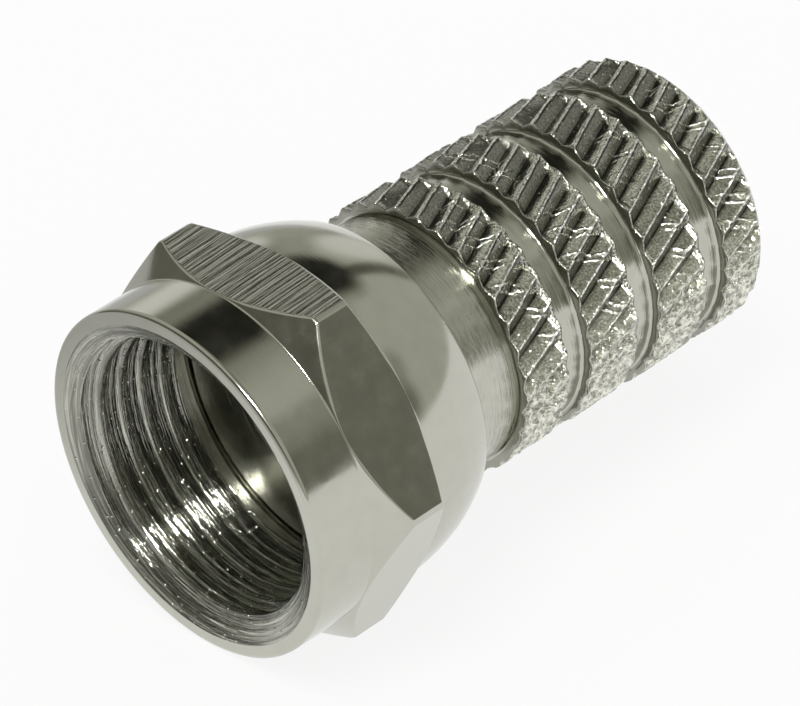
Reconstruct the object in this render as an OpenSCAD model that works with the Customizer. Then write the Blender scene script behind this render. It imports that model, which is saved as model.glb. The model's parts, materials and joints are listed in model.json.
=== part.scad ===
// Twist-on coaxial plug: a free-spinning hex coupling nut held captive on a
// knurled barrel that was turned in one piece. Millimetres.
// The connector's axis is Y. The nut's mouth is at y = 0 and opens towards -Y,
// and the cable enters from +Y. Two of the six hex flats face up and down.

/* [Coupling nut] */
// Length of the nut, from its mouth to its rear face
nut_length = 7.25; // [7.1:0.05:7.8]
// Size of the hexagon across its flats
hex_across_flats = 11.11; // [11.05:0.01:11.3]
// Diameter that the hexagon's corners are turned down to
hex_corner_d = 12.72; // [12.4:0.02:12.74]
// How far the front skirt lies below the flats
skirt_relief = 0.025; // [0.02:0.005:0.2]
// Length of the front skirt
skirt_length = 1.97; // [1.5:0.05:2.2]
// Length of the hexagon's corners, between the two chamfers
hex_length = 1.18; // [0.8:0.02:1.3]
// Angle between the axis and the chamfer in front of the hexagon
front_chamfer = 45; // [40:1:60]
// Angle between the axis and the chamfer behind the hexagon
rear_chamfer = 61; // [50:1:70]
// How far the rear dome starts below the flats
dome_relief = 0.01; // [0.01:0.005:0.1]
// Bevel between the dome and the rear face
rear_break = 0.2; // [0.05:0.01:0.25]
// Bevel on the outer edge of the mouth
rim_break = 0.08; // [0.03:0.01:0.15]
// Diameter of the countersink at the mouth
mouth_d = 10.16; // [9.6:0.02:10.4]
// Depth of the countersink, to the thread's crests
mouth_depth = 0.42; // [0.2:0.02:0.9]
// Bore of the coupling thread, at its crests
thread_bore_d = 8.7; // [8.4:0.02:8.9]
// Depth at which the coupling thread ends
thread_end = 3.8; // [3.4:0.05:3.9]

/* [Fit of the nut on the barrel] */
// Clearance all round the barrel's flange and collar
running_clearance = 0.07; // [0.03:0.01:0.1]
// Clearance behind the flange, along the axis
end_float = 0.08; // [0.03:0.01:0.12]

/* [Flange and collar] */
// Depth of the flange's face behind the end of the coupling thread
face_setback = 0.7; // [0.4:0.05:0.75]
// Diameter of the flange that the nut turns on
flange_d = 9.46; // [9.2:0.02:9.5]
// Length of the flange's straight edge
flange_length = 1.3; // [1:0.05:1.4]
// Bevel on the flange's front edge
flange_break = 0.15; // [0.05:0.01:0.3]
// Diameter of the smooth collar behind the flange
collar_d = 8; // [7.7:0.02:8.06]
// Length of collar that shows behind the nut
collar_length = 1.85; // [1:0.05:3]
// Width of the undercut ahead of the knurl
undercut_width = 0.15; // [0.1:0.01:0.3]
// Diameter of the undercut
undercut_d = 7.8; // [7.6:0.02:7.9]

/* [Knurled barrel] */
// Diameter over the knurl
knurl_d = 8.76; // [8.7:0.02:9.2]
// Length of the first knurled band
first_band = 1.8; // [1.2:0.05:2.5]
// Length of each middle band
middle_band = 2; // [1.2:0.05:2.5]
// Length of the last band
last_band = 1.64; // [1.2:0.02:2.5]
// Number of smooth grooves between the bands
groove_count = 3; // [1:1:4]
// Width of each smooth groove
groove_width = 0.87; // [0.5:0.01:1.2]
// Diameter at the bottom of the smooth grooves
groove_d = 8.02; // [7.7:0.02:8.04]
// Number of teeth around the barrel
teeth = 32; // [24:1:34]
// Angle between the axis and the teeth
helix = 25; // [15:1:30]
// Depth of the main set of knurl cuts
main_cut = 0.3; // [0.15:0.01:0.31]
// Depth of the crossing set of knurl cuts
cross_cut = 0.18; // [0.1:0.01:0.25]
// Bevel on the barrel's rear edge
tail_break = 0.12; // [0.05:0.01:0.2]

/* [Cable entry] */
// Bore for the cable's dielectric
dielectric_bore_d = 4.9; // [4.4:0.05:5.2]
// Length of the dielectric bore
front_wall = 2.4; // [1.5:0.1:3]
// Bore for the cable's jacket, at its thread crests
jacket_bore_d = 6.8; // [6.4:0.05:6.9]
// Bevel at the mouth of the jacket bore
entry_bevel = 0.35; // [0.1:0.05:0.4]

/* [Hidden] */
$fn = 96;

flat_r = hex_across_flats / 2;
corner_r = hex_corner_d / 2;
skirt_r = flat_r - skirt_relief;
hex_front = skirt_length + (corner_r - skirt_r) / tan(front_chamfer);
hex_rear = hex_front + hex_length;
// The dome is a zone of a sphere whose centre is on the axis.
dome_r = flat_r - dome_relief;
dome_start = hex_rear + (corner_r - dome_r) / tan(rear_chamfer);
mouth_r = mouth_d / 2;
thread_r = thread_bore_d / 2;
flange_r = flange_d / 2;
collar_r = collar_d / 2;
// The nut's chamber follows the flange and collar at the running clearance.
chamber_r = flange_r + running_clearance;
nut_hole_r = collar_r + running_clearance;
face = thread_end + face_setback;
flange_rear = face + flange_length;
shoulder = flange_r - collar_r;
chamber_rear = flange_rear + end_float;
undercut_r = undercut_d / 2;
undercut_start = nut_length + collar_length;
knurl_start = undercut_start + undercut_width;
knurl_r = knurl_d / 2;
groove_r = groove_d / 2;
groove_pitch = middle_band + groove_width;
tail = knurl_start + first_band + groove_count * groove_pitch - middle_band + last_band;
dielectric_r = dielectric_bore_d / 2;
jacket_r = jacket_bore_d / 2;
jacket_start = face + front_wall;
// Each knurled ring reaches this far into the barrel's core.
root = 0.1;
// Cutting tools reach this far past what they cut.
over = 0.15;

// Where knurled band i starts and ends, counted from the nut.
function band_start(i) = knurl_start + (i == 0 ? 0 : first_band + i * groove_pitch - middle_band);
function band_end(i) = i == groove_count ? tail : knurl_start + first_band + i * groove_pitch;

// Turn of a tooth between the start of the knurl and z.
function tooth_turn(z) = (z - knurl_start) * tan(helix) / knurl_r * 180 / PI;

// Lays a piece that was turned about Z along the connector's axis.
module on_connector_axis() {
    rotate([-90, 0, 0]) children();
}

// A ring turned about Z from the half section [radius, z].
module turned(section) {
    rotate_extrude() polygon(section);
}

// The hexagon with its corners chamfered at both ends.
module nut_hexagon() {
    intersection() {
        turned([
            [0, skirt_length], [skirt_r, skirt_length], [corner_r, hex_front],
            [corner_r, hex_rear], [dome_r, dome_start], [0, dome_start]
        ]);
        translate([0, 0, skirt_length])
            linear_extrude(dome_start - skirt_length)
                circle(flat_r / cos(30), $fn = 6);
    }
}

// The rounded back of the nut, closed by a bevel and a flat face.
module nut_dome() {
    face_r = sqrt(pow(dome_r, 2) - pow(nut_length - dome_start, 2)) - rear_break;
    rotate_extrude()
        intersection() {
            translate([0, dome_start]) circle(dome_r);
            polygon([
                [0, dome_start], [dome_r + over, dome_start],
                [dome_r + over, nut_length - dome_r - over + face_r],
                [face_r, nut_length], [0, nut_length]
            ]);
        }
}

module nut_skirt() {
    turned([
        [0, 0], [skirt_r - rim_break, 0], [skirt_r, rim_break],
        [skirt_r, skirt_length], [0, skirt_length]
    ]);
}

// Everything that is bored out of the nut, from its mouth to its rear hole.
module nut_bores() {
    turned([
        [0, -over], [mouth_r, -over], [mouth_r, 0],
        [thread_r, mouth_depth], [thread_r, thread_end],
        [chamber_r, thread_end], [chamber_r, chamber_rear],
        [nut_hole_r, chamber_rear + shoulder], [nut_hole_r, nut_length + over],
        [0, nut_length + over]
    ]);
}

module coupling_nut() {
    color([0.53, 0.53, 0.47])
        on_connector_axis()
            difference() {
                union() {
                    nut_skirt();
                    nut_hexagon();
                    nut_dome();
                }
                nut_bores();
            }
}

// One set of V-shaped knurl cuts across the band from z0 to z1, 90 degrees in
// the V. hand is 1 or -1 for the way that the cuts lean.
module knurl_cuts(z0, z1, depth, hand) {
    middle = (z0 + z1) / 2;
    for (i = [0:teeth - 1])
        rotate([0, 0, 360 * i / teeth - hand * tooth_turn(middle)])
            translate([knurl_r, 0, middle])
                rotate([hand * helix, 0, 0])
                    linear_extrude((z1 - z0) / cos(helix) + 4 * (depth + over), center = true)
                        polygon([[-depth, 0], [over, -depth - over], [over, depth + over]]);
}

// A knurled ring from z0 to z1. end_break bevels its far edge.
module knurled_band(z0, z1, end_break) {
    difference() {
        turned([
            [groove_r - root, z0], [knurl_r, z0], [knurl_r, z1 - end_break],
            [knurl_r - end_break, z1], [groove_r - root, z1]
        ]);
        knurl_cuts(z0, z1, main_cut, 1);
        knurl_cuts(z0, z1, cross_cut, -1);
    }
}

// Flange, collar, undercut and the plain core under the knurl, bored through.
module barrel_core() {
    turned([
        [dielectric_r, face], [flange_r - flange_break, face],
        [flange_r, face + flange_break], [flange_r, flange_rear],
        [collar_r, flange_rear + shoulder], [collar_r, undercut_start],
        [undercut_r, undercut_start], [undercut_r, knurl_start],
        [groove_r, knurl_start], [groove_r, tail],
        [jacket_r + entry_bevel, tail], [jacket_r, tail - entry_bevel],
        [jacket_r, jacket_start], [dielectric_r, jacket_start]
    ]);
}

module knurled_barrel() {
    color([0.53, 0.53, 0.47])
        on_connector_axis() {
            barrel_core();
            for (i = [0:groove_count])
                knurled_band(band_start(i), band_end(i), i == groove_count ? tail_break : 0);
        }
}

coupling_nut();
knurled_barrel();
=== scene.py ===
import json
import math

import bpy
import numpy as np
from mathutils import Matrix, Vector


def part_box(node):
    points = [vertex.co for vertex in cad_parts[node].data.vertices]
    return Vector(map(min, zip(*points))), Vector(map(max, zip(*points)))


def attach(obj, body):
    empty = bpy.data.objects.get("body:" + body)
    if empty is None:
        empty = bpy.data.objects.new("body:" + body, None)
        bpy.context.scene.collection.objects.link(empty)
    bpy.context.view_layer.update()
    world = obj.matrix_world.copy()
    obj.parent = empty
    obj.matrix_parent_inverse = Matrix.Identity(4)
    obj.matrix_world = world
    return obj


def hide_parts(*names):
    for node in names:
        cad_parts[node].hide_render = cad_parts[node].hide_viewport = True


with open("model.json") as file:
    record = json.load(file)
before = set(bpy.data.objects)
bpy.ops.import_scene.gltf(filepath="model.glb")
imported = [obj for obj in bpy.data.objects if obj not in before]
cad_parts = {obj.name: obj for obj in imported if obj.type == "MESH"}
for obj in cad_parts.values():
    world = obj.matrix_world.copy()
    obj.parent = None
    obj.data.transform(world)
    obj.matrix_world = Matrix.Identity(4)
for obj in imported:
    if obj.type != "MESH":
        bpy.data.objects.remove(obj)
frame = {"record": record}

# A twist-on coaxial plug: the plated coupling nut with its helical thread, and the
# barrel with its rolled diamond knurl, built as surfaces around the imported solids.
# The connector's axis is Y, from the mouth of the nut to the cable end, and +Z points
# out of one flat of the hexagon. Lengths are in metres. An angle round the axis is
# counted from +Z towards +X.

bl_info = {
    "name": "Twist-on coaxial plug",
    "version": (1, 0, 0),
    "blender": (4, 5, 0),
    "location": "3D View > Sidebar > Plug",
    "description": "Builds a plated coaxial plug with a threaded hex nut and a knurled barrel",
    "category": "Add Mesh",
}

MM = 0.001
TURN = 2 * math.pi
SIXTH = TURN / 6
NUT_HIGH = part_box("coupling_nut")[1]
BARREL_LOW, BARREL_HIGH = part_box("knurled_barrel")
MOUNTS = {m["name"]: m for m in frame["record"]["mounts"]}
FINISHES = {m["slot"]: m["base_color"] for m in frame["record"]["materials"]}


def length(name, default, description):
    return bpy.props.FloatProperty(
        name=name, description=description, default=default, min=0.0, precision=5, unit="LENGTH"
    )


def share(name, default, description, top=1.0):
    return bpy.props.FloatProperty(
        name=name, description=description, default=default, min=0.0, max=top, subtype="FACTOR"
    )


def colour(name, default, description):
    return bpy.props.FloatVectorProperty(
        name=name, description=description, default=default, min=0.0, max=1.0, subtype="COLOR"
    )


class NutSizes(bpy.types.PropertyGroup):
    """Sizes of the coupling nut; lengths along the axis count from its mouth."""

    skirt_radius: length("Skirt radius", 5.53 * MM, "Radius of the round skirt at the mouth")
    skirt_length: length("Skirt length", 1.97 * MM, "Length of the skirt, up to the front chamfer")
    hex_front: length("Hexagon front", 2.80 * MM, "Where the hexagon's corners start")
    hex_rear: length("Hexagon rear", 3.98 * MM, "Where the hexagon's corners end")
    dome_radius: length("Dome radius", 5.545 * MM, "Radius of the rounded back")
    dome_start: length("Dome start", 4.4318 * MM, "Where the rounded back starts")
    rim_round: length("Rim rounding", 0.15 * MM, "Rounding of the mouth's outer edge")
    edge_round: length("Edge rounding", 0.06 * MM, "Rounding of the hexagon's edges")
    rear_round: length("Rear rounding", 0.22 * MM, "Rounding between the back and the rear face")
    mouth_radius: length("Mouth radius", 5.08 * MM, "Outer radius of the countersink")
    mouth_depth: length("Mouth depth", 0.42 * MM, "Depth of the countersink, to the thread's crests")
    thread_lead: length("Thread lead-in", 0.23 * MM, "Place of the thread's crest at the top, from the mouth")
    thread_root: length("Thread root", 4.76 * MM, "Radius at the roots of the thread")
    thread_pitch: length("Thread pitch", 25.4 / 32 * MM, "Pitch of the coupling thread")
    thread_end: length("Thread end", 3.80 * MM, "Depth at which the thread ends")
    chamber_radius: length("Chamber radius", 4.80 * MM, "Radius of the chamber round the flange")
    chamber_end: length("Chamber end", 5.88 * MM, "Where the chamber starts to close")
    hole_radius: length("Rear hole radius", 4.07 * MM, "Radius of the hole round the collar")


class BarrelSizes(bpy.types.PropertyGroup):
    """Sizes of the barrel; lengths along the axis count from the nut's mouth."""

    flange_end: length("Flange end", 5.80 * MM, "Where the flange's straight edge ends")
    flange_round: length("Flange rounding", 0.15 * MM, "Rounding of the flange's front edge")
    collar_radius: length("Collar radius", 4.00 * MM, "Radius of the smooth collar")
    undercut_start: length("Undercut start", 9.10 * MM, "Where the undercut starts")
    undercut_radius: length("Undercut radius", 3.90 * MM, "Radius of the undercut")
    groove_radius: length("Groove radius", 4.01 * MM, "Radius at the bottom of the smooth grooves")
    cable_thread_root: length("Cable thread root", 3.62 * MM, "Radius at the cable thread's roots")
    cable_thread_pitch: length("Cable thread pitch", 1.5 * MM, "Pitch of the cable thread")
    entry_bevel: length("Entry bevel", 0.35 * MM, "Bevel at the mouth of the cable bore")


class KnurlSizes(bpy.types.PropertyGroup):
    """The knurled bands."""

    radius: length("Knurl radius", 4.38 * MM, "Radius over the knurl")
    start: length("Knurl start", 9.25 * MM, "Where the first band starts")
    first_band: length("First band", 1.80 * MM, "Length of the first band")
    middle_band: length("Middle band", 2.00 * MM, "Length of each middle band")
    groove_width: length("Groove width", 0.87 * MM, "Width of each smooth groove")
    teeth: bpy.props.IntProperty(
        name="Teeth", description="Number of teeth round the barrel", default=32, min=12, max=60
    )
    helix: bpy.props.FloatProperty(
        name="Helix", description="Angle between the axis and the teeth",
        default=math.radians(25), min=0.0, max=1.0, subtype="ANGLE"
    )
    main_cut: length("Main cut", 0.30 * MM, "Depth of the main set of cuts")
    main_half: length("Main half width", 0.365 * MM, "Half the width of a main cut")
    cross_cut: length("Crossing cut", 0.10 * MM, "Depth of the crossing set of cuts")
    cross_half: length("Crossing half width", 0.12 * MM, "Half the width of a crossing cut")
    rear_bevel: length("Rear bevel", 0.22 * MM, "Bevel at the rear end, which runs through the cuts")
    chew: length("Chewed metal", 0.024 * MM, "How far the rolled metal is torn and folded")


class Finish(bpy.types.PropertyGroup):
    """The plating."""

    nut_colour: colour("Nut colour", FINISHES["nut_plate"], "Colour of the nut's plating")
    barrel_colour: colour("Barrel colour", FINISHES["barrel_plate"], "Colour of the barrel's plating")
    nut_roughness: share("Nut roughness", 0.12, "How blurred the nut's reflections are")
    barrel_roughness: share("Barrel roughness", 0.07, "How blurred the barrel's reflections are")


class Studio(bpy.types.PropertyGroup):
    """The stage."""

    floor_colour: colour("Floor colour", (0.86, 0.86, 0.85), "Colour of the floor")
    lens: bpy.props.FloatProperty(
        name="Lens", description="Focal length of the camera in millimetres", default=270.34,
        min=10.0, max=500.0
    )


# ------------------------------------------------------------------ surfaces


def smooth(x):
    """Smooth step from 0 at 0 to 1 at 1."""
    x = np.clip(x, 0, 1)
    return x * x * (3 - 2 * x)


def rough(angle, along, around, pitch, seed):
    """Seeded noise from -1 to 1: random values on a lattice of `around` cells round the
    axis and one every `pitch` along it, joined by smooth steps."""
    u = np.mod(angle / TURN, 1) * around
    v = along / pitch
    v = v - np.floor(v.min())
    i, j = np.floor(v).astype(int), np.floor(u).astype(int)
    table = np.random.default_rng(seed).uniform(-1, 1, (i.max() + 2, around))
    a, b = smooth(v - i), smooth(u - j)
    left, right = j % around, (j + 1) % around
    low = table[i, left] * (1 - b) + table[i, right] * b
    high = table[i + 1, left] * (1 - b) + table[i + 1, right] * b
    return low * (1 - a) + high * a


def soften(corners, columns, steps=3, hold=0.02 * MM):
    """Rows of a turned section. Each corner is (radius, along, reach, marks...), as numbers
    or one value a column. A corner with no reach stays one row. Any other is cut back by
    its reach, or by a third of the shorter side beside it, and joined by a parabola that
    touches both sides, with one holding row before it and one after."""
    path = np.array([[np.broadcast_to(np.asarray(v, float), (columns,)) for v in c] for c in corners])
    path = np.moveaxis(path, 1, -1)
    place, reach = path[..., [0, 1, *range(3, path.shape[-1])]], path[..., 2]
    rows = [place[0]]
    for i in range(1, len(path) - 1):
        if not reach[i].any():
            rows.append(place[i])
            continue
        here = place[i]
        sides = []
        for other in (place[i - 1], place[i + 1]):
            step = (other - here)[..., :2]
            size = np.maximum(np.linalg.norm(step, axis=-1), 1e-9)
            sides.append((step / size[:, None], size))
        cut = np.minimum(reach[i], np.minimum(sides[0][1], sides[1][1]) * 0.33)
        keep = np.minimum(hold, cut * 0.5)
        ends = []
        for unit, _ in sides:
            ends += [here.copy(), here.copy()]
            ends[-2][..., :2] += unit * (cut + keep)[:, None]
            ends[-1][..., :2] += unit * cut[:, None]
        # The holding rows take the marks of their own side of the corner.
        ends[0][..., 2:] = place[i - 1][..., 2:]
        rows.append(ends[0])
        for w in np.linspace(0, 1, steps + 1):
            rows.append((1 - w) ** 2 * ends[1] + 2 * w * (1 - w) * here + w * w * ends[3])
        rows.append(ends[2])
    rows.append(place[-1])
    return np.array(rows)


class Coat:
    """A closed coat of faces, made of grids of rows and columns round the axis."""

    def __init__(self):
        self.points, self.marks, self.quads, self.others, self.count = [], [], [], [], 0

    def grid(self, radius, along, angle, marks, wrap=None):
        """Adds rows of points. The faces join each row to the next, and the last column to
        the first of the same row, or of row wrap[i] where the rows climb like a thread."""
        rows, columns = radius.shape
        points = np.stack((radius * np.sin(angle), along, radius * np.cos(angle)), axis=-1)
        ids = self.count + np.arange(rows * columns).reshape(rows, columns)
        self.count += rows * columns
        self.points.append(points.reshape(-1, 3))
        self.marks.append(marks.reshape(rows * columns, -1))
        wrap = np.arange(rows) if wrap is None else wrap
        after = np.concatenate((ids[:, 1:], ids[wrap, :1]), axis=1)
        self.quads.append(
            np.stack((ids[:-1], after[:-1], after[1:], ids[1:]), axis=-1).reshape(-1, 4)
        )
        return ids[0], ids[-1]

    def join(self, a, b):
        """Faces between two rings of points. One ring may have a whole number of times as
        many points as the other; the faces are then flat polygons."""
        n = min(len(a), len(b))
        p, q = len(a) // n, len(b) // n
        first = np.arange(n)[:, None]
        lower = a[(first * p + np.arange(p + 1)) % len(a)]
        upper = b[(first * q + np.arange(q, -1, -1)) % len(b)]
        self.others.append(np.concatenate((lower, upper), axis=1))

    def mesh(self, name, labels):
        """The mesh, with points that coincide merged and faces that vanish left out."""
        points, marks = np.concatenate(self.points), np.concatenate(self.marks)
        _, first, same = np.unique(points, axis=0, return_index=True, return_inverse=True)
        same = same.reshape(-1)
        quads = same[np.concatenate(self.quads)]
        equal = quads == np.roll(quads, -1, axis=1)
        whole = quads[~equal.any(axis=1)]
        whole = whole[(whole[:, 0] != whole[:, 2]) & (whole[:, 1] != whole[:, 3])]
        triangles = [
            quads[equal[:, k] & (equal.sum(axis=1) == 1)][:, [i for i in range(4) if i != k]]
            for k in range(4)
        ]
        groups = [whole, *triangles, *[same[o] for o in self.others]]
        made = bpy.data.meshes.new(name)
        made.from_pydata(points[first].tolist(), [], [f for g in groups for f in g.tolist()])
        for i, label in enumerate(labels):
            layer = made.attributes.new(label, "FLOAT", "POINT")
            layer.data.foreach_set("value", marks[first, i].astype(np.float32))
        made.polygons.foreach_set("use_smooth", np.ones(len(made.polygons), bool))
        made.set_sharp_from_angle(angle=math.radians(38))
        made.update()
        return made


def thread_rows(start, end, pitch, phases, angle, lead):
    """Where the rows of a right-hand thread lie along the axis, from end back to start.
    A row is one phase of the thread, and climbs by the pitch in one turn; past either end
    it runs along that end. lead is where phase 0 lies at angle 0. Also the row that each
    row meets after a turn."""
    first = math.floor((start - lead) / pitch) - 1
    last = math.ceil((end - lead) / pitch) + 1
    base = lead + pitch * (np.arange(first, last)[:, None] + np.asarray(phases)).reshape(-1)
    along = base[::-1, None] + pitch * angle / TURN
    along = np.concatenate((np.full_like(angle, end)[None], along, np.full_like(angle, start)[None]))
    along = np.clip(along, start, end)
    rows = np.arange(len(along))
    wrap = np.clip(rows - len(phases), 0, len(along) - 1)
    wrap[-1] = len(along) - 1
    return along, wrap


def thread_radius(along, angle, lead, pitch, crest, root, crest_share, root_share):
    """Radius of a female thread: flat at the crest and at the root, with straight flanks."""
    phase = np.mod((along - lead) / pitch - angle / TURN, 1)
    away = np.minimum(phase, 1 - phase)
    return crest + (root - crest) * np.clip(
        (away - crest_share / 2) / (0.5 - (crest_share + root_share) / 2), 0, 1
    )


# The rows of a thread in one pitch, close together where crest and root turn to flank.
THREAD_PHASES = (
    0.0, 0.085, 0.115, 0.138, 0.20, 0.28, 0.36, 0.415, 0.445,
    0.5, 0.555, 0.585, 0.64, 0.72, 0.80, 0.862, 0.885, 0.915,
)


def hexagon_columns():
    """Angles round the nut, closer together where a flat turns to a corner's land."""
    land = SIXTH / 2 - math.acos(NUT_HIGH.z / NUT_HIGH.x)
    flat = np.linspace(-1, 1, 29)[1:-1] * (SIXTH / 2 - land * 1.55)
    edge = SIXTH / 2 + land * np.array([-1.4, -1.12, -0.88, -0.5, 0, 0.5, 0.88, 1.12, 1.4])
    one = np.concatenate((flat, edge))
    return np.sort(np.concatenate([one + i * SIXTH for i in range(6)]))


def nut_mesh(n):
    """The coupling nut. Outside, each column is a section with the hexagon's radius at
    its angle, apothem / cos(angle from the flat's middle), held under the corners'
    radius; the chamfers' ends follow from it. The back is a zone of a sphere."""
    angle = hexagon_columns()
    columns = len(angle)
    bend = np.mod(angle + SIXTH / 2, SIXTH) - SIXTH / 2
    flat_r, corner_r, length_ = NUT_HIGH.z, NUT_HIGH.x, NUT_HIGH.y
    hexagon = np.minimum(flat_r / np.cos(bend), corner_r)
    on_flat = (flat_r / np.cos(bend) < corner_r).astype(float)
    on_top = np.where(np.abs(np.mod(angle + math.pi, TURN) - math.pi) < SIXTH / 2, 1.0, 0.12)
    front_slope = (n.hex_front - n.skirt_length) / (corner_r - n.skirt_radius)
    rear_slope = (n.dome_start - n.hex_rear) / (corner_r - n.dome_radius)
    front = n.skirt_length + (hexagon - n.skirt_radius) * front_slope
    rear = n.hex_rear + (corner_r - hexagon) * rear_slope
    sweep = np.linspace(0, math.asin((length_ - n.dome_start) / n.dome_radius), 22)
    edge = n.edge_round
    corners = [
        (n.mouth_radius + 0.02 * MM, 0, 0, 0, 0),
        (n.skirt_radius, 0, n.rim_round, 0, 0),
        (n.skirt_radius, n.skirt_length, edge * 0.6, 0, 0),
        (hexagon, front, edge, 0, 0),
        (hexagon, (front + rear) / 2, 0, 0, on_flat),
        (hexagon, rear, edge, 0, 0),
        (n.dome_radius, n.dome_start, edge * 0.5, 0, 0),
    ]
    corners += [
        (n.dome_radius * math.cos(a), n.dome_start + n.dome_radius * math.sin(a), 0, 0, 0)
        for a in sweep[1:-1]
    ]
    face_r = n.dome_radius * math.cos(sweep[-1])
    shoulder = n.chamber_radius - n.hole_radius
    corners += [
        (face_r, length_, n.rear_round, 0, 0),
        (n.hole_radius, length_, edge, 0, 0),
        (n.hole_radius, n.chamber_end + shoulder, edge, 0, 0),
        (n.chamber_radius, n.chamber_end, edge, 0, 0),
        (n.chamber_radius, n.thread_end, 0, 0, 0),
    ]
    rows = soften(corners, columns)
    # On the flats the mark holds right up to the edges.
    rows[..., 3] = np.where((np.abs(rows[..., 0] - hexagon) < 1e-9) & (on_flat > 0), on_top, 0)
    coat = Coat()
    _, outer = coat.grid(
        rows[..., 0], rows[..., 1], np.broadcast_to(angle, rows.shape[:2]), rows[..., 2:]
    )
    turn = np.sort(np.mod(angle, TURN))
    start = 0.02 * MM
    along, wrap = thread_rows(
        start, n.thread_end, n.thread_pitch, THREAD_PHASES, turn, n.thread_lead
    )
    angles = np.broadcast_to(turn, along.shape)
    crest = MOUNTS["coupling_thread"]["dims"]["r_mm"] * MM
    radius = thread_radius(
        along, angles, n.thread_lead, n.thread_pitch, crest, n.thread_root, 0.25, 0.13
    )
    cone = n.mouth_radius - (along - start) * (n.mouth_radius - crest) / n.mouth_depth
    cut = np.clip((radius - cone) / (0.03 * MM), 0.3, 1)
    marks = np.stack((cut, np.zeros_like(radius)), axis=-1)
    radius = np.maximum(radius, cone)
    inner, mouth = coat.grid(radius, along, angles, marks, wrap)
    shift = int(np.argmin(np.abs(np.exp(1j * angle) - np.exp(1j * turn[0]))))
    coat.join(np.roll(outer, -shift), inner)
    coat.join(mouth, np.roll(np.arange(columns), -shift))
    return coat.mesh("coupling_nut_plated", ("thread", "flat"))


# Columns in one tooth, as shares of the pitch from the middle of a main cut.
TOOTH_COLUMNS = (
    0.0, 0.03, 0.10, 0.19, 0.28, 0.37, 0.44, 0.5, 0.56, 0.63, 0.72, 0.81, 0.90, 0.97,
)
COARSE = 4


def off_cut(k, angle, along, hand):
    """Distance to the nearest cut's middle line, square to the cut. hand is 1 for the
    main cuts and -1 for the crossing ones, which lean the other way."""
    pitch = TURN / k.teeth
    lean = hand * math.tan(k.helix) / k.radius * (along - k.start)
    away = np.abs(np.mod((angle + lean) / pitch + 0.5, 1) - 0.5) * pitch
    return away * k.radius * math.cos(k.helix)


def knurl_surface(k, angle, along, inside_band):
    """Radius over the knurl, and its marks: the share of its depth that each point stands
    at, how clear the crossing cuts are, and how crumpled the metal is. Both sets of cuts
    are V-shaped: a cut's depth falls evenly from its middle line to its edge. The main cuts
    are shallower at the ends of a band, and the crossing cuts only break the middle of it
    here and there. The metal is torn along the crests and where the cuts cross, and
    crumpled all over on one side, where the roll pressed less evenly."""
    pitch = TURN / k.teeth
    shallow = 0.5 + 0.5 * smooth(inside_band / (0.16 * MM))
    main = k.main_cut * (1 - off_cut(k, angle, along, 1) / k.main_half)
    bend = pitch * 0.12 * rough(angle, along, 2 * k.teeth, 0.35 * MM, 13)
    off = off_cut(k, angle + bend, along, -1)
    clear = smooth(1.6 * rough(angle, along, k.teeth // 2, 0.9 * MM, 3) + 0.55)
    clear = clear * smooth((inside_band - 0.2 * MM) / (0.35 * MM))
    cross = k.cross_cut * clear * (1 - off / k.cross_half)
    side = np.mod(angle, TURN)
    crumpled = smooth((side - 1.32) / 0.4) * smooth((3.6 - side) / 0.5)
    depth = np.maximum(np.maximum(main, cross), 0) * shallow * (1 - 0.3 * crumpled)
    crest = smooth(1.1 - 3 * main / k.main_cut)
    torn = clear * smooth(1.2 - off / (1.3 * k.cross_half)) * smooth(1.3 - main / k.main_cut)
    fine = rough(angle, along, 10 * k.teeth, 0.08 * MM, 5)
    streak = rough(angle - pitch * (along / (0.5 * MM)), along, 8 * k.teeth, 0.3 * MM, 9)
    coarse = rough(angle, along, 3 * k.teeth, 0.33 * MM, 7)
    fold = rough(angle, along, 5 * k.teeth, 0.17 * MM, 11)
    tear = crest * 0.7 * fine + torn * (fine + streak) + 0.2 * coarse + 0.04 * fine
    tear = tear + crumpled * (1.9 * fold + 1.6 * coarse + 0.3 * fine)
    depth = np.clip(depth + k.chew * tear, 0, k.main_cut * 1.08)
    return k.radius - depth, (1 - np.clip(depth / k.main_cut, 0, 1), clear, crumpled)


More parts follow.
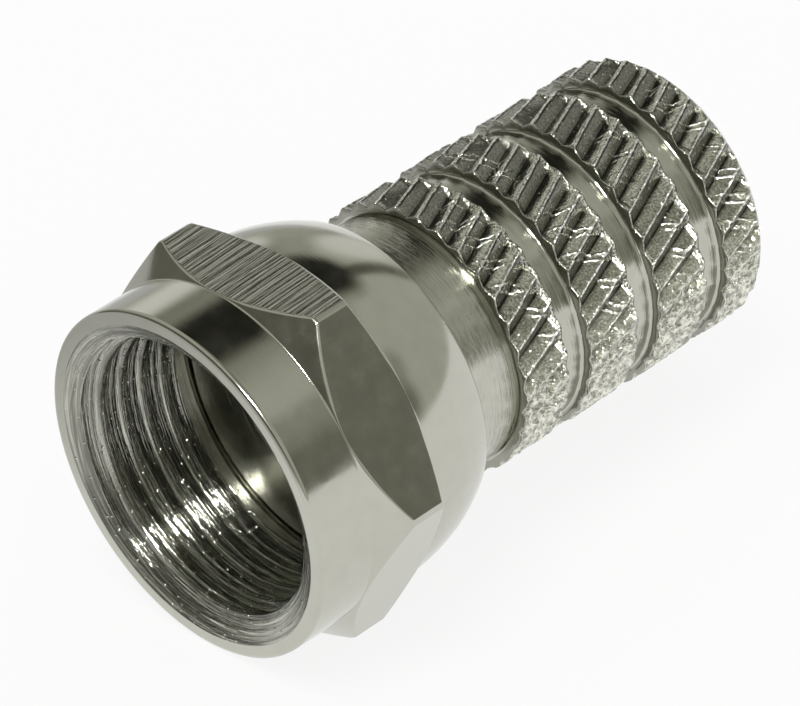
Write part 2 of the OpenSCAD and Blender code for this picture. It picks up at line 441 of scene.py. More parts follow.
def barrel_mesh(b, k):
    """The barrel. The flange, collar and bores are turned sections. The knurled part has
    columns that lean with the main cuts, so that its ridges are unbroken, and the columns
    are four times as close there; flat rings of polygons join the two."""
    slope = math.tan(k.helix) / k.radius
    base = np.concatenate([(i + np.array(TOOTH_COLUMNS)) * TURN / k.teeth for i in range(k.teeth)])
    fine = len(base)
    tail, face = BARREL_HIGH.y, BARREL_LOW.y
    flange_r = BARREL_HIGH.z
    step = 0.066 * MM

    # Rows of the knurled part: place along the axis, the share of the way from the
    # groove's radius to the knurl's surface, and how far the nearest end of the band is.
    wall = ((0.0, 0.25), (0.0, 0.5), (0.0, 0.86), (0.014, 0.95), (0.05, 1.0))
    groove = (
        (0.04, 0.08), (0.10, 0.015), (0.2, 0.0), (0.4, 0.0), (0.6, 0.0), (0.8, 0.0), (0.9, 0.015),
        (0.96, 0.08),
    )
    along, rise, inside_band = [], [], []
    start = k.start
    while start < tail - 0.5 * MM:
        stop = min(start + (k.first_band if start == k.start else k.middle_band), tail)
        front = [(start + e * MM, w) for e, w in wall]
        back = [(stop - e * MM, w) for e, w in reversed(wall)]
        if stop == tail:
            back = [(tail - e * MM, 1.0) for e in (0.24, 0.20, 0.14, 0.07, 0.0)]
        middle = np.arange(front[-1][0] + 0.05 * MM, back[0][0] - 0.03 * MM, step)
        rows = front + [(y, 1.0) for y in middle] + back
        inside_band += [min(y - start, stop - y) for y, _ in rows]
        if stop < tail:
            rows += [(stop + w * k.groove_width, fillet) for w, fillet in groove]
            inside_band += [-1.0] * len(groove)
        along += [y for y, _ in rows]
        rise += [w for _, w in rows]
        start = stop + k.groove_width
    along, rise, inside_band = (np.array(v)[:, None] * np.ones(fine) for v in (along, rise, inside_band))
    angle = base - slope * (along - k.start)
    radius, (height, clear, crumpled) = knurl_surface(k, angle, along, inside_band)
    # The rear edge is bevelled right through the cuts.
    radius = np.minimum(radius, k.radius - np.maximum(along - (tail - k.rear_bevel), 0))
    radius = b.groove_radius + (radius - b.groove_radius) * rise
    # The bands' end walls get a low height mark, which the plating paints as shade, and the metal at the ends
    # has run into small beads.
    top = (rise == 1.0).astype(float)
    height = np.where(inside_band < 0, 1.0, np.where(top > 0, height, 0.12))
    bead = top * smooth(1.3 - inside_band / (0.17 * MM))
    marks = np.stack((top, height, top * clear, bead, top * crumpled), axis=-1)

    coat = Coat()
    coarse = angle[0, ::COARSE]
    columns = len(coarse)
    shoulder = flange_r - b.collar_radius
    bore_r = MOUNTS["dielectric_bore"]["dims"]["r_mm"] * MM
    jacket_r = MOUNTS["cable_bore"]["dims"]["r_mm"] * MM
    jacket_start = tail - MOUNTS["cable_bore"]["dims"]["length_mm"] * MM - b.entry_bevel
    round_ = 0.05 * MM
    # The marks of plain metal, in the order of the mesh's attributes.
    plain = (0, 1, 0, 0, 0)
    front = soften(
        [
            (bore_r + 0.08 * MM, face, 0, *plain),
            (flange_r, face, b.flange_round, *plain),
            (flange_r, b.flange_end, round_, *plain),
            (b.collar_radius, b.flange_end + shoulder, round_, *plain),
            (b.collar_radius, b.undercut_start, round_ * 0.5, *plain),
            (b.undercut_radius, b.undercut_start, round_ * 0.5, *plain),
            (b.undercut_radius, k.start, 0, *plain),
            (b.undercut_radius + 0.05 * MM, k.start, 0, *plain),
        ],
        columns,
    )
    first, undercut = coat.grid(
        front[..., 0], front[..., 1], np.broadcast_to(coarse, front.shape[:2]), front[..., 2:]
    )
    knurl_first, knurl_last = coat.grid(radius, along, angle, marks)
    coat.join(undercut, knurl_first)

    turned = angle[-1, ::COARSE]
    order = np.argsort(np.mod(turned, TURN))
    turned = np.mod(turned, TURN)[order]
    lip = jacket_r + b.entry_bevel
    rear = soften(
        [
            (lip + 0.05 * MM, tail, 0, *plain),
            (lip, tail, 0.02 * MM, *plain),
            (jacket_r, tail - b.entry_bevel, 0, *plain),
        ],
        columns,
        steps=2,
    )
    rear_first, rear_last = coat.grid(
        rear[..., 0], rear[..., 1], np.broadcast_to(turned, rear.shape[:2]), rear[..., 2:]
    )
    coat.join(np.roll(knurl_last, -COARSE * order[0]), rear_first)

    rows, wrap = thread_rows(
        jacket_start + 0.4 * MM, tail - b.entry_bevel, b.cable_thread_pitch,
        (0.0, 0.08, 0.16, 0.24, 0.42, 0.5, 0.58, 0.76, 0.84, 0.92), turned, 0,
    )
    angles = np.broadcast_to(turned, rows.shape)
    fade = smooth((tail - b.entry_bevel - rows) / (0.8 * MM)) * smooth(
        (rows - jacket_start - 0.4 * MM) / (0.6 * MM)
    )
    bore = thread_radius(
        rows, angles, 0, b.cable_thread_pitch, jacket_r, b.cable_thread_root, 0.35, 0.16
    )
    bore = jacket_r + (bore - jacket_r) * fade
    bore_marks = np.broadcast_to(plain, (*bore.shape, len(plain)))
    cable_first, cable_last = coat.grid(bore, rows, angles, bore_marks, wrap)
    coat.join(rear_last, cable_first)
    inside = soften(
        [
            (jacket_r, jacket_start + 0.3 * MM, 0, *plain),
            (jacket_r, jacket_start, round_, *plain),
            (bore_r, jacket_start, round_, *plain),
            (bore_r, face, round_, *plain),
            (bore_r + 0.07 * MM, face, 0, *plain),
        ],
        columns,
    )
    inner_first, inner_last = coat.grid(
        inside[..., 0], inside[..., 1], np.broadcast_to(turned, inside.shape[:2]), inside[..., 2:]
    )
    coat.join(cable_last, inner_first)
    shift = int(np.argmin(np.abs(np.exp(1j * coarse) - np.exp(1j * turned[0]))))
    coat.join(inner_last, np.roll(first, -shift))
    return coat.mesh("knurled_barrel_plated", ("knurl", "height", "crossing", "bead", "crumple"))


# ----------------------------------------------------------------- materials


def put(tree, kind, links=(), **values):
    """Adds a node. links are (input, output socket to join it to); values are the node's
    own settings, or the values of inputs where the name starts with in_."""
    node = tree.nodes.new(kind)
    for name, value in values.items():
        if name.startswith("in_"):
            key = name[3:]
            node.inputs[int(key) if key.isdigit() else key.replace("_", " ")].default_value = value
        else:
            setattr(node, name, value)
    for name, source in links:
        tree.links.new(source, node.inputs[name])
    return node


def calc(tree, operation, *terms, clamp=False):
    """A Math node of that operation on sockets and numbers."""
    node = put(tree, "ShaderNodeMath", operation=operation, use_clamp=clamp)
    for i, term in enumerate(terms):
        if isinstance(term, bpy.types.NodeSocket):
            tree.links.new(term, node.inputs[i])
        else:
            node.inputs[i].default_value = term
    return node.outputs[0]


def shader_group(name, inputs, outputs):
    """A new node group with float or vector inputs and float outputs."""
    tree = bpy.data.node_groups.new(name, "ShaderNodeTree")
    for label, default in inputs:
        kind = "NodeSocketVector" if default is None else "NodeSocketFloat"
        socket = tree.interface.new_socket(label, in_out="INPUT", socket_type=kind)
        if default is not None:
            socket.default_value = default
    for label in outputs:
        tree.interface.new_socket(label, in_out="OUTPUT", socket_type="NodeSocketFloat")
    return tree, tree.nodes.new("NodeGroupInput").outputs, tree.nodes.new("NodeGroupOutput").inputs


def turning_marks():
    """Fine rings left by the lathe: noise that changes quickly along the turned section,
    which is the sum of the distance along the axis and from it, and slowly round it."""
    tree, given, made = shader_group(
        "turning_marks", (("Position", None), ("Rings per mm", 9.0), ("Length", 0.35)), ("Height",)
    )
    split = put(tree, "ShaderNodeSeparateXYZ", [(0, given["Position"])])
    x, y, z = split.outputs
    radial = calc(tree, "SQRT", calc(tree, "ADD", calc(tree, "MULTIPLY", x, x), calc(tree, "MULTIPLY", z, z)))
    section = calc(tree, "SUBTRACT", y, radial)
    quick = calc(tree, "MULTIPLY", given["Rings per mm"], 1000.0)
    slow = calc(tree, "MULTIPLY", given["Length"], 1000.0)
    place = put(tree, "ShaderNodeCombineXYZ", [
        (0, calc(tree, "MULTIPLY", x, slow)),
        (1, calc(tree, "MULTIPLY", section, quick)),
        (2, calc(tree, "MULTIPLY", z, slow)),
    ])
    noise = put(tree, "ShaderNodeTexNoise", [("Vector", place.outputs[0])], in_Scale=1.0, in_Detail=4.0,
                in_Roughness=0.65)
    tree.links.new(noise.outputs["Fac"], made["Height"])
    return tree


def lengthwise_grain():
    """Scratches along the axis: noise that changes quickly across it and slowly along it."""
    tree, given, made = shader_group(
        "lengthwise_grain", (("Position", None), ("Lines per mm", 6.0), ("Slant", 0.0)), ("Height",)
    )
    split = put(tree, "ShaderNodeSeparateXYZ", [(0, given["Position"])])
    x, y, z = split.outputs
    quick = calc(tree, "MULTIPLY", given["Lines per mm"], 1000.0)
    leaned = calc(tree, "ADD", x, calc(tree, "MULTIPLY", y, given["Slant"]))
    place = put(tree, "ShaderNodeCombineXYZ", [
        (0, calc(tree, "MULTIPLY", leaned, quick)),
        (1, calc(tree, "MULTIPLY", y, 260.0)),
        (2, calc(tree, "MULTIPLY", z, quick)),
    ])
    noise = put(tree, "ShaderNodeTexNoise", [("Vector", place.outputs[0])], in_Scale=1.0, in_Detail=3.0,
                in_Roughness=0.6)
    tree.links.new(noise.outputs["Fac"], made["Height"])
    return tree


def plated_skin():
    """Small pits, folds and slow waves in the plating, and where handling has dulled it."""
    tree, given, made = shader_group(
        "plated_skin", (("Position", None), ("Pits per mm", 14.0)), ("Pits", "Waves", "Dulled", "Folds")
    )
    for label, scale, detail in (("Waves", 700.0, 2.0), ("Dulled", 1600.0, 5.0), ("Folds", 5200.0, 2.0)):
        noise = put(tree, "ShaderNodeTexNoise", [("Vector", given["Position"])], in_Scale=scale,
                    in_Detail=detail, in_Roughness=0.55)
        tree.links.new(noise.outputs["Fac"], made[label])
    fine = put(tree, "ShaderNodeTexNoise", [
        ("Vector", given["Position"]), ("Scale", calc(tree, "MULTIPLY", given["Pits per mm"], 1000.0))
    ], in_Detail=2.0, in_Roughness=0.5)
    tree.links.new(fine.outputs["Fac"], made["Pits"])
    return tree


def thread_marks():
    """Marks of the tool that cut the thread. They follow its helix and repeat in each turn:
    noise on a circle that is gone round once in a pitch, changing slowly along the thread."""
    tree, given, made = shader_group(
        "thread_marks", (("Position", None), ("Pitch in mm", 0.8), ("Lines", 10.0), ("Length", 0.2)),
        ("Height",)
    )
    x, y, z = put(tree, "ShaderNodeSeparateXYZ", [(0, given["Position"])]).outputs
    turns = calc(tree, "DIVIDE", calc(tree, "MULTIPLY", y, 1000.0 * TURN), given["Pitch in mm"])
    phase = calc(tree, "SUBTRACT", turns, calc(tree, "ARCTAN2", x, z))
    circle = calc(tree, "DIVIDE", given["Lines"], TURN)
    slow = calc(tree, "MULTIPLY", given["Length"], 1000.0)
    place = put(tree, "ShaderNodeCombineXYZ", [
        (0, calc(tree, "MULTIPLY", calc(tree, "COSINE", phase), circle)),
        (1, calc(tree, "MULTIPLY", calc(tree, "SINE", phase), circle)),
        (2, calc(tree, "MULTIPLY", x, slow)),
    ])
    noise = put(tree, "ShaderNodeTexNoise", [
        ("Vector", place.outputs[0]), ("W", calc(tree, "MULTIPLY", z, slow))
    ], noise_dimensions="4D", in_Scale=1.0, in_Detail=3.0, in_Roughness=0.7)
    tree.links.new(noise.outputs["Fac"], made["Height"])
    return tree


def pimples():
    """Sparse small round bumps under the plating: in a random share of the cells of a
    Voronoi pattern, height falls smoothly from the cell's point."""
    tree, given, made = shader_group(
        "pimples", (("Position", None), ("Cells per mm", 5.0), ("Share", 0.5), ("Size", 0.3)),
        ("Height",)
    )
    cells = put(tree, "ShaderNodeTexVoronoi", [
        ("Vector", given["Position"]), ("Scale", calc(tree, "MULTIPLY", given["Cells per mm"], 1000.0))
    ])
    pick = put(tree, "ShaderNodeSeparateColor", [(0, cells.outputs["Color"])]).outputs[0]
    chosen = calc(tree, "LESS_THAN", pick, given["Share"])
    near = calc(tree, "SUBTRACT", 1.0, calc(tree, "DIVIDE", cells.outputs["Distance"], given["Size"]),
                clamp=True)
    tree.links.new(calc(tree, "MULTIPLY", chosen, calc(tree, "MULTIPLY", near, near)), made["Height"])
    return tree


def rolled_marks(k):
    """Where a point of the knurl lies across the teeth, from its angle plus or minus the
    lean of the teeth, as the cuts in the mesh do. Crest is 1 on the line between two main
    cuts, Lee is 1 on the flank that follows it, and Line on thin bands beside the crest and
    at the bottom of the cut. Burr is 1 on the raised edges of the crossing cuts. The plating
    paints highlights on Crest and Burr, and shade on Lee and Line."""
    tree, given, made = shader_group(
        "rolled_marks", (("Position", None), ("Waver", 0.0)), ("Crest", "Lee", "Line", "Burr")
    )
    x, y, z = put(tree, "ShaderNodeSeparateXYZ", [(0, given["Position"])]).outputs
    angle = calc(tree, "ARCTAN2", x, z)
    slope = math.tan(k.helix) / k.radius
    lean = calc(tree, "MULTIPLY", calc(tree, "SUBTRACT", y, k.start), slope)
    turns = [
        calc(tree, "ADD", calc(tree, "MULTIPLY", calc(tree, operation, angle, lean), k.teeth / TURN),
             calc(tree, "MULTIPLY", given["Waver"], waver))
        for operation, waver in (("ADD", 0.12), ("SUBTRACT", 0.5))
    ]
    phase = calc(tree, "FRACT", turns[0])
    from_crest = calc(tree, "ABSOLUTE", calc(tree, "SUBTRACT", phase, 0.5))
    tree.links.new(spread(tree, from_crest, 0.025, 0.06, 1.0, 0.0), made["Crest"])
    flank_shade = calc(tree, "MULTIPLY", spread(tree, phase, 0.53, 0.57, 0.0, 1.0),
               spread(tree, phase, 0.94, 1.0, 1.0, 0.0))
    tree.links.new(flank_shade, made["Lee"])
    beside = spread(tree, calc(tree, "ABSOLUTE", calc(tree, "SUBTRACT", phase, 0.585)), 0.012, 0.04, 1.0, 0.0)
    bottom = spread(tree, from_crest, 0.455, 0.49, 0.0, 1.0)
    tree.links.new(calc(tree, "MAXIMUM", beside, bottom), made["Line"])
    edge = calc(tree, "ABSOLUTE", calc(tree, "SUBTRACT", calc(tree, "PINGPONG", turns[1], 0.5), 0.13))
    tree.links.new(spread(tree, edge, 0.02, 0.07, 1.0, 0.0), made["Burr"])
    return tree


def spread(tree, value, low, high, to_low, to_high):
    """A Map Range node that takes low..high to to_low..to_high, held at both ends."""
    node = put(tree, "ShaderNodeMapRange", [("Value", value)], in_1=low, in_2=high, in_3=to_low,
               in_4=to_high)
    return node.outputs[0]


def use_group(tree, group, position, **values):
    node = put(tree, "ShaderNodeGroup", node_tree=group)
    tree.links.new(position, node.inputs["Position"])
    for name, value in values.items():
        node.inputs[name.replace("_", " ")].default_value = value
    return node.outputs


def tinted(tree, base, factor):
    """The base colour times a factor that changes over the surface."""
    node = put(tree, "ShaderNodeVectorMath", [("Scale", factor)], operation="SCALE")
    node.inputs[0].default_value = base
    return node.outputs[0]


def bumps(tree, heights, distance):
    """A Bump node on the sum of (height, weight) pairs."""
    total = 0.0
    for height, weight in heights:
        total = calc(tree, "ADD", calc(tree, "MULTIPLY", height, weight), total)
    node = put(tree, "ShaderNodeBump", [("Height", total)], in_Strength=1.0, in_Distance=distance)
    return node.outputs[0]


def start_material(name):
    material = bpy.data.materials.new(name)
    material.use_nodes = True
    tree = material.node_tree
    return material, tree, tree.nodes["Principled BSDF"]


def nut_plating(f, groups):
    """Bright nickel: smooth on the turned faces, with grain along the flats and rings in
    the thread. In the thread the colour also carries painted glints on small bumps and
    painted shade in dark streaks along the helix and the rings."""
    material, tree, shader = start_material("nut_nickel")
    position = put(tree, "ShaderNodeTexCoord").outputs["Object"]
    flat = put(tree, "ShaderNodeAttribute", attribute_name="flat").outputs["Fac"]
    thread = put(tree, "ShaderNodeAttribute", attribute_name="thread").outputs["Fac"]
    rings = use_group(tree, groups["turning"], position, Rings_per_mm=9.0, Length=0.25)["Height"]
    grain = use_group(tree, groups["grain"], position, Lines_per_mm=7.0, Slant=0.06)["Height"]
    helix = use_group(tree, groups["thread"], position, Lines=9.0, Length=0.25)["Height"]
    dots = use_group(tree, groups["pimples"], position, Cells_per_mm=5.5, Share=0.5, Size=0.3)["Height"]
    inside = calc(tree, "GREATER_THAN", thread, 0.1)
    skin = use_group(tree, groups["skin"], position, Pits_per_mm=12.0)
    turned = calc(tree, "SUBTRACT", 1.0, flat)
    heights = [
        (calc(tree, "MULTIPLY", grain, flat), 12.0),
        (calc(tree, "MULTIPLY", rings, turned), 0.35),
        (calc(tree, "MULTIPLY", rings, inside), 5.0),
        (calc(tree, "MULTIPLY", helix, thread), 16.0),
        (calc(tree, "MULTIPLY", dots, inside), 8.0),
        (skin["Waves"], 0.3),
        (calc(tree, "MULTIPLY", skin["Pits"], thread), 1.5),
        (skin["Pits"], 0.06),
    ]
    tree.links.new(bumps(tree, heights, 0.004 * MM), shader.inputs["Normal"])
    tone = calc(
        tree, "SUBTRACT", spread(tree, skin["Dulled"], 0.3, 0.7, 0.96, 1.02),
        calc(tree, "MULTIPLY", calc(tree, "MULTIPLY", grain, flat), 0.25)
    )
    # Painted glints on the thread's small bumps, and painted shade in dark streaks along its helix and rings.
    painted_glints = spread(tree, calc(tree, "MULTIPLY", dots, inside), 0.1, 0.35, 0.0, 0.85)
    painted_thread_shade = calc(tree, "MULTIPLY", calc(tree, "MAXIMUM", spread(tree, helix, 0.56, 0.40, 0.0, 0.6),
                                        spread(tree, rings, 0.54, 0.42, 0.0, 0.5)), inside)
    tone = calc(tree, "ADD", calc(tree, "SUBTRACT", tone, painted_thread_shade), painted_glints)
    tree.links.new(tinted(tree, tuple(f.nut_colour), tone), shader.inputs["Base Color"])
    rough_ = calc(tree, "ADD", spread(tree, skin["Dulled"], 0.35, 0.7, f.nut_roughness - 0.03,
                                      f.nut_roughness + 0.05), calc(tree, "MULTIPLY", flat, 0.08))
    tree.links.new(rough_, shader.inputs["Roughness"])
    shader.inputs["Metallic"].default_value = 1.0
    return material


def barrel_plating(f, groups):
    """Bright nickel over turning marks, with the pitted look of rolled metal on the knurl.
    Painted highlights lighten the knurl's crests, the burrs of its crossing cuts and its
    small bumps; painted shade darkens its cuts, the bands' end walls, one flank of each
    tooth, thin bands beside the crests and the flange inside the nut. On the crumpled side
    the folds carry painted glints."""
    material, tree, shader = start_material("barrel_nickel")
    position = put(tree, "ShaderNodeTexCoord").outputs["Object"]
    knurl = put(tree, "ShaderNodeAttribute", attribute_name="knurl").outputs["Fac"]
    height = put(tree, "ShaderNodeAttribute", attribute_name="height").outputs["Fac"]
    rings = use_group(tree, groups["turning"], position, Rings_per_mm=11.0, Length=0.2)["Height"]
    skin = use_group(tree, groups["skin"], position, Pits_per_mm=16.0)
    rolled = use_group(tree, groups["rolled"], position)
    crossing, bead, crumple = (
        put(tree, "ShaderNodeAttribute", attribute_name=name).outputs["Fac"]
        for name in ("crossing", "bead", "crumple")
    )
    dots = use_group(tree, groups["pimples"], position, Cells_per_mm=6.0, Share=0.4, Size=0.33)["Height"]
    pits = skin["Pits"]
    tree.links.new(calc(tree, "SUBTRACT", skin["Dulled"], 0.5), rolled["Crest"].node.inputs["Waver"])
    plain = calc(tree, "SUBTRACT", 1.0, knurl)
    whole = calc(tree, "SUBTRACT", 1.0, crumple)
    y = put(tree, "ShaderNodeSeparateXYZ", [(0, position)]).outputs[1]
    flange = calc(tree, "LESS_THAN", y, BARREL_LOW.y + 0.3 * MM)
    brushed = calc(tree, "MULTIPLY", plain, spread(tree, y, 9.1 * MM, 9.2 * MM, 1.0, 0.35))
    on_knurl = calc(tree, "MULTIPLY", knurl, whole)
    crest = calc(tree, "MULTIPLY", rolled["Crest"], on_knurl)
    burr = calc(tree, "MULTIPLY", calc(tree, "MULTIPLY", rolled["Burr"], crossing), whole)
    heights = [
        (calc(tree, "MULTIPLY", rings, brushed), 6.0),
        (calc(tree, "MULTIPLY", pits, knurl), 1.8),
        (calc(tree, "MULTIPLY", pits, crest), 9.0),
        (calc(tree, "MULTIPLY", pits, bead), 12.0),
        (calc(tree, "MULTIPLY", skin["Folds"], crumple), 32.0),
        (calc(tree, "MULTIPLY", calc(tree, "ADD", pits, 0.3), burr), 9.0),
        (calc(tree, "MULTIPLY", dots, on_knurl), 4.0),
        (skin["Waves"], 0.15),
    ]
    tree.links.new(bumps(tree, heights, 0.004 * MM), shader.inputs["Normal"])
    # Painted highlight: the crests and the burrs of the crossing cuts are lightened, broken up by the pits.
    ragged = spread(tree, pits, 0.42, 0.54, 0.0, 1.0)
    painted_highlight = calc(tree, "MULTIPLY", calc(tree, "MAXIMUM", crest, burr), calc(tree, "MULTIPLY", ragged, 1.2))
    # Painted glints: the knurl's small bumps are lightened too.
    painted_highlight = calc(tree, "ADD", painted_highlight, calc(
        tree, "MULTIPLY", spread(tree, dots, 0.1, 0.35, 0.0, 0.8), on_knurl))
    # Painted shade: darker low in the cuts and on the bands' end walls, by the height mark, on the flank that
    # follows each crest, and in thin bands beside the crests and at the cuts' bottoms; on the knurl the pits
    # also vary the tone at random.
    flank_shade = calc(tree, "MULTIPLY", rolled["Lee"], on_knurl)
    line = calc(tree, "MULTIPLY", rolled["Line"], on_knurl)
    pits_and_painted_shade = calc(tree, "MULTIPLY", spread(tree, height, 0.0, 0.35, 0.5, 1.0),
                mixed(tree, knurl, 1.0, spread(tree, pits, 0.38, 0.6, 0.85, 1.45)))
    pits_and_painted_shade = calc(tree, "MULTIPLY", pits_and_painted_shade, calc(tree, "SUBTRACT", 1.0, calc(tree, "MULTIPLY", flank_shade, 0.62)))
    pits_and_painted_shade = calc(tree, "MULTIPLY", pits_and_painted_shade, calc(tree, "SUBTRACT", 1.0, calc(tree, "MULTIPLY", line, 0.75)))
    tone = calc(tree, "ADD", painted_highlight, calc(
        tree, "MULTIPLY", pits_and_painted_shade, spread(tree, skin["Dulled"], 0.3, 0.7, 0.93, 1.02)))
    tone = mixed(tree, calc(tree, "MULTIPLY", bead, 0.85), tone, spread(tree, pits, 0.42, 0.56, 0.25, 1.8))
    # On the crumpled side the colour follows the folds, from 0.6 to 1.8 times and lighter on the whole:
    # painted glints of reflected light, over the real crumpling in the mesh.
    tone = mixed(tree, calc(tree, "MULTIPLY", crumple, 0.8), tone,
                 spread(tree, skin["Folds"], 0.38, 0.62, 0.6, 1.8))
    # Painted shade: the flange, seen inside the nut, is a quarter darker.
    tone = calc(tree, "MULTIPLY", tone, calc(tree, "SUBTRACT", 1.0, calc(tree, "MULTIPLY", flange, 0.25)))
    tree.links.new(tinted(tree, tuple(f.barrel_colour), tone), shader.inputs["Base Color"])
    rough_ = calc(tree, "ADD", spread(tree, skin["Dulled"], 0.35, 0.7, f.barrel_roughness - 0.02,
                                      f.barrel_roughness + 0.05), calc(tree, "MULTIPLY", knurl, 0.05))
    rough_ = calc(tree, "ADD", rough_, calc(tree, "MULTIPLY", flange, 0.12))
    tree.links.new(rough_, shader.inputs["Roughness"])
    shader.inputs["Metallic"].default_value = 1.0
    return material


def mask_groups(k):
    """The node groups that the platings use, built once."""
    found = bpy.data.node_groups
    return {
        "turning": found.get("turning_marks") or turning_marks(),
        "grain": found.get("lengthwise_grain") or lengthwise_grain(),
        "skin": found.get("plated_skin") or plated_skin(),
        "thread": found.get("thread_marks") or thread_marks(),
        "pimples": found.get("pimples") or pimples(),
        "rolled": found.get("rolled_marks") or rolled_marks(k),
    }


# --------------------------------------------------------------------- stage


def panel(tree, direction, lon, lat, half, soft):
    """A soft oblong in the room, seen from the plug: 1 inside it and 0 outside. lon is its
    angle from +Y towards +X, lat its height, and half its half width and half height, all
    in degrees; soft is the share of its half size over which its edge fades."""
    o, t = math.radians(lon), math.radians(lat)
    centre = Vector((math.sin(o) * math.cos(t), math.cos(o) * math.cos(t), math.sin(t)))
    across = Vector((math.cos(o), -math.sin(o), 0))
    terms = []
    for axis, size in ((across, half[0]), (across.cross(centre), half[1])):
        dot = put(tree, "ShaderNodeVectorMath", [(0, direction)], operation="DOT_PRODUCT")
        dot.inputs[1].default_value = axis
        terms.append(calc(tree, "DIVIDE", dot.outputs["Value"], math.sin(math.radians(size))))
    ring = calc(tree, "SQRT", calc(tree, "ADD", *[calc(tree, "MULTIPLY", v, v) for v in terms]))
    facing = put(tree, "ShaderNodeVectorMath", [(0, direction)], operation="DOT_PRODUCT")
    facing.inputs[1].default_value = centre
    node = put(tree, "ShaderNodeMapRange", [("Value", ring)], interpolation_type="SMOOTHSTEP",
               in_1=1.0 + soft, in_2=1.0 - soft, in_3=0.0, in_4=1.0)
    return calc(tree, "MULTIPLY", node.outputs[0], calc(tree, "GREATER_THAN", facing.outputs["Value"], 0.0))


# The room's panels as the metal sees them: lon, lat, half size, soft edge, level.
PANELS = (
    (20, 74, (40, 17), 0.4, 0.26),
    (-165, 24, (68, 27), 0.3, 0.13),
    (-101, 5, (15, 13), 0.4, 0.16),
    (-85, 50, (22, 20), 0.4, 0.50),
    (-50, 33, (9, 9), 0.5, 0.24),
    (51, 30, (8, 9), 0.5, 0.34),
    (-54, -6, (12, 7), 0.5, 0.40),
    (-45, 12, (7, 30), 0.4, 0.42),
    (-31, 14, (9, 13), 0.4, 0.80),
    (-60, 15, (6, 9), 0.5, 0.85),
    (-17, 28, (3.5, 27), 0.5, 0.12),
    (-30, 50, (20, 15), 0.3, 0.02),
    (62, 12, (12, 15), 0.4, 0.20),
)


def mixed(tree, factor, a, b):
    """a where factor is 0 and b where it is 1, as sockets or numbers."""
    node = put(tree, "ShaderNodeMix", [("Factor", factor)], data_type="FLOAT")
    for name, value in (("A", a), ("B", b)):
        if isinstance(value, bpy.types.NodeSocket):
            tree.links.new(value, node.inputs[name])
        else:
            node.inputs[name].default_value = value
    return node.outputs["Result"]


def seen_directly(tree):
    """1 for rays from the camera, or by way of metal or glass, and the ray kinds."""
    rays = put(tree, "ShaderNodeLightPath").outputs
    return calc(tree, "MAXIMUM", calc(tree, "MAXIMUM", rays["Is Camera Ray"], rays["Is Glossy Ray"]),
                rays["Is Transmission Ray"]), rays["Is Camera Ray"]


def build_world():
    """White to the camera. Metal sees a white room with a grey ceiling and soft dark
    flags, a little warmer where it is dark; matt surfaces are lit evenly."""
    world = bpy.data.worlds.new("studio")
    bpy.context.scene.world = world
    world.use_nodes = True
    tree = world.node_tree
    tree.nodes.clear()
    direction = put(tree, "ShaderNodeTexCoord").outputs["Generated"]
    up = put(tree, "ShaderNodeSeparateXYZ", [(0, direction)]).outputs["Z"]
    shade = put(tree, "ShaderNodeMapRange", [("Value", up)], interpolation_type="SMOOTHSTEP",
                in_1=-0.15, in_2=0.06, in_3=0.95, in_4=0.53).outputs[0]
    for lon, lat, half, soft, level in PANELS:
        shade = mixed(tree, panel(tree, direction, lon, lat, half, soft), shade, level)
    seen, camera = seen_directly(tree)
    shade = mixed(tree, camera, shade, 1.0)
    blue = calc(tree, "MULTIPLY", shade, calc(tree, "MULTIPLY_ADD", shade, 0.2, 0.8))
    tint = put(tree, "ShaderNodeCombineXYZ", [(0, shade), (1, shade), (2, blue)])
    matt = put(tree, "ShaderNodeBackground", in_Color=(1, 1, 1, 1), in_Strength=0.8)
    room = put(tree, "ShaderNodeBackground", [("Color", tint.outputs[0])], in_Strength=1.0)
    mix = put(tree, "ShaderNodeMixShader", [(0, seen), (1, matt.outputs[0]), (2, room.outputs[0])])
    output = put(tree, "ShaderNodeOutputWorld")
    tree.links.new(mix.outputs[0], output.inputs["Surface"])


def build_floor(s):
    """A pale matt floor under the nut's lowest flat. To the camera it is close to white, apart
    from the object's shadow. In the metal it keeps the shadow too, and has painted shade
    that darkens it further towards -X and -Y."""
    reach, height = 0.6, -NUT_HIGH.z
    made = bpy.data.meshes.new("floor")
    made.from_pydata(
        [(-reach, -reach, height), (reach, -reach, height), (reach, reach, height), (-reach, reach, height)],
        [], [(0, 1, 2, 3)],
    )
    floor = bpy.data.objects.new("floor", made)
    bpy.context.scene.collection.objects.link(floor)
    material, tree, shader = start_material("floor_matt")
    shader.inputs["Base Color"].default_value = (*s.floor_colour, 1)
    shader.inputs["Roughness"].default_value = 0.9
    shader.inputs["Specular IOR Level"].default_value = 0.2
    seen, camera = seen_directly(tree)
    x, y, _ = put(tree, "ShaderNodeSeparateXYZ", [
        (0, put(tree, "ShaderNodeTexCoord").outputs["Object"])]).outputs
    # Painted shade seen only in the metal: the floor's glow falls from 0.97 to 0.5 further towards -X and -Y;
    # the camera sees it white.
    ahead = calc(tree, "ADD", calc(tree, "MULTIPLY", x, -0.8), calc(tree, "MULTIPLY", y, -0.6))
    level = mixed(tree, camera, spread(tree, ahead, 7 * MM, 17 * MM, 0.97, 0.5), 1.0)
    glow = put(tree, "ShaderNodeEmission", [("Strength", level)], in_Color=(1, 1, 1, 1))
    lifted = calc(tree, "MULTIPLY", seen, 0.86)
    mix = put(tree, "ShaderNodeMixShader", [(0, lifted), (1, shader.outputs[0]), (2, glow.outputs[0])])
    tree.links.new(mix.outputs[0], tree.nodes["Material Output"].inputs["Surface"])
    made.materials.append(material)


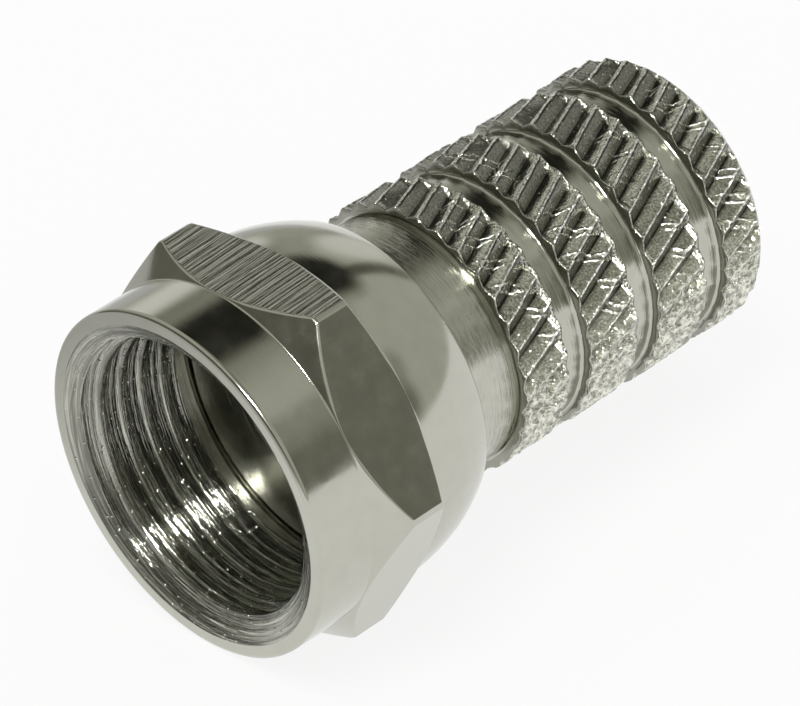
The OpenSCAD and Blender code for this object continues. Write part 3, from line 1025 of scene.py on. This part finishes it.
def build_lamp(name, place, size, power):
    """An oblong soft lamp that faces the middle of the plug."""
    data = bpy.data.lights.new(name, "AREA")
    data.shape = "RECTANGLE"
    (data.size, data.size_y), data.energy = size, power
    lamp = bpy.data.objects.new(name, data)
    bpy.context.scene.collection.objects.link(lamp)
    lamp.location = place
    lamp.rotation_mode = "QUATERNION"
    lamp.rotation_quaternion = (Vector((0, 0.008, 0)) - Vector(place)).to_track_quat("-Z", "Y")
    return lamp


def build_camera(s):
    """A long lens from above, in front and to the right of the nut's mouth."""
    right = Vector((0.69638, 0.71188, -0.09097))
    down = Vector((0.35336, -0.45045, -0.8199))
    ahead = right.cross(down).normalized()
    right, up = right.normalized(), -down.normalized()
    data = bpy.data.cameras.new("camera")
    data.lens, data.sensor_width = s.lens, 36.0
    data.clip_start, data.clip_end = 0.005, 5.0
    camera = bpy.data.objects.new("camera", data)
    bpy.context.scene.collection.objects.link(camera)
    turn = Matrix((right, up, -ahead)).transposed()
    camera.matrix_world = Matrix.Translation(Vector((108.335, -84.967, 97.952)) * MM) @ turn.to_4x4()
    bpy.context.scene.camera = camera


# ----------------------------------------------------------------- operators


def place_piece(made, body, node, material):
    """Links a finished mesh as a piece that rides on its body and stands for its solid."""
    made.materials.append(material)
    piece = bpy.data.objects.new(made.name, made)
    bpy.context.scene.collection.objects.link(piece)
    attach(piece, body)
    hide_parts(node)
    if not made.polygons:
        raise RuntimeError(f"{made.name} has no faces")
    return piece


class PLUG_OT_stage(bpy.types.Operator):
    """Adds the camera, the floor, the lamps and the room"""

    bl_idname = "plug.stage"
    bl_label = "Stage"

    def execute(self, context):
        studio = context.scene.plug_studio
        build_camera(studio)
        build_world()
        build_floor(studio)
        key = build_lamp("key_lamp", (0.05, -0.15, 0.45), (0.22, 0.22), 0.55)
        key.visible_glossy = False
        spark = build_lamp("spark_lamp", (0.138, -0.145, 0.283), (0.09, 0.026), 2.0)
        spark.visible_diffuse = False
        context.scene.view_settings.view_transform = "Standard"
        if context.scene.camera is None:
            raise RuntimeError("the camera wasn't made")
        return {"FINISHED"}


class PLUG_OT_coupling_nut(bpy.types.Operator):
    """Builds the plated coupling nut with its thread"""

    bl_idname = "plug.coupling_nut"
    bl_label = "Coupling nut"

    def execute(self, context):
        scene = context.scene
        place_piece(nut_mesh(scene.plug_nut), "nut", "coupling_nut",
                    nut_plating(scene.plug_finish, mask_groups(scene.plug_knurl)))
        return {"FINISHED"}


class PLUG_OT_knurled_barrel(bpy.types.Operator):
    """Builds the plated barrel with its knurled bands"""

    bl_idname = "plug.knurled_barrel"
    bl_label = "Knurled barrel"

    def execute(self, context):
        scene = context.scene
        place_piece(barrel_mesh(scene.plug_barrel, scene.plug_knurl), "barrel", "knurled_barrel",
                    barrel_plating(scene.plug_finish, mask_groups(scene.plug_knurl)))
        return {"FINISHED"}


class PLUG_PT_sidebar(bpy.types.Panel):
    """Lists the plug's sizes, finish and pieces"""

    bl_label = "Coaxial plug"
    bl_space_type = "VIEW_3D"
    bl_region_type = "UI"
    bl_category = "Plug"

    def draw(self, context):
        for _, holder, title in HOLDERS:
            box = self.layout.box()
            box.label(text=title)
            group = getattr(context.scene, holder)
            for name in group.__annotations__:
                box.prop(group, name)
        for operator in OPERATORS:
            self.layout.operator(operator.bl_idname)


HOLDERS = (
    (NutSizes, "plug_nut", "Coupling nut"),
    (BarrelSizes, "plug_barrel", "Barrel"),
    (KnurlSizes, "plug_knurl", "Knurl"),
    (Finish, "plug_finish", "Plating"),
    (Studio, "plug_studio", "Stage"),
)
OPERATORS = (PLUG_OT_stage, PLUG_OT_coupling_nut, PLUG_OT_knurled_barrel)


def register():
    for group, holder, _ in HOLDERS:
        bpy.utils.register_class(group)
        setattr(bpy.types.Scene, holder, bpy.props.PointerProperty(type=group))
    for item in (*OPERATORS, PLUG_PT_sidebar):
        bpy.utils.register_class(item)


def unregister():
    for item in reversed((*OPERATORS, PLUG_PT_sidebar)):
        bpy.utils.unregister_class(item)
    for group, holder, _ in reversed(HOLDERS):
        delattr(bpy.types.Scene, holder)
        bpy.utils.unregister_class(group)


def main():
    register()
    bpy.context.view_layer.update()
    for operator in OPERATORS:
        group, name = operator.bl_idname.split(".")
        getattr(getattr(bpy.ops, group), name)()
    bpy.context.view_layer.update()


if __name__ == "__main__":
    main()
